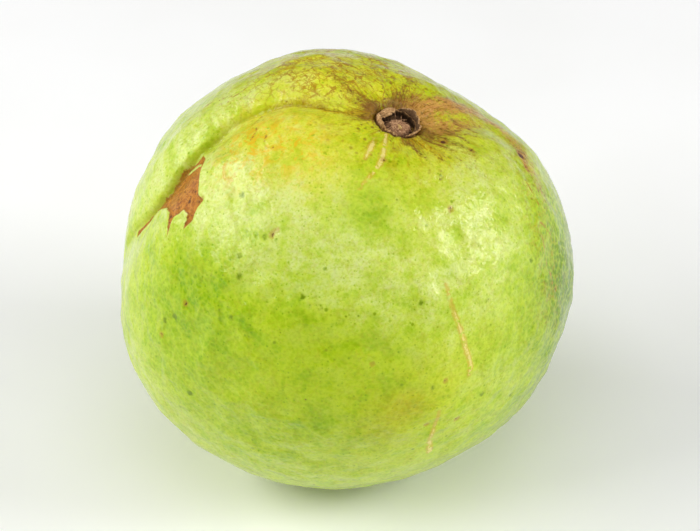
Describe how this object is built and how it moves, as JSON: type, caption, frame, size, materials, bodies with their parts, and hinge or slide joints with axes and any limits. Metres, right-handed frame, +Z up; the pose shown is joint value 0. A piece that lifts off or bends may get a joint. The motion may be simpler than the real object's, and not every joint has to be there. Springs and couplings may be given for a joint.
{
  "type": "guava",
  "caption": "Whole ripening apple guava, round with low ribs and one long fold, resting on a small flat spot with its dry calyx crown on top.",
  "frame": {"origin": "middle of the small flat spot that the fruit rests on", "axes": "+Z up, out of the top of the resting fruit; -Y is the front, +X the right; the calyx crown leans a little to the right of the top"},
  "size_m": [0.0866, 0.0844, 0.082],
  "materials": {
    "guava_skin": "satin waxy yellow-green skin, mottled, with a rust-brown scar",
    "dry_calyx": "dry corky brown rim",
    "dry_sepal": "dry papery grey-brown sepal",
    "dry_stamens": "dry fibrous tan",
    "stem_bark": "rough brown bark with a broken end"
  },
  "bodies": {
    "root": {"fruit": "guava_skin", "calyx_ring": "dry_calyx", "sepal_left": "dry_sepal", "sepal_back": "dry_sepal", "sepal_right": "dry_sepal", "sepal_front_right": "dry_sepal", "sepal_front": "dry_sepal", "stamen_mat": "dry_stamens", "style_stub": "dry_stamens", "stem_stub": "stem_bark"}
  },
  "joints": []
}
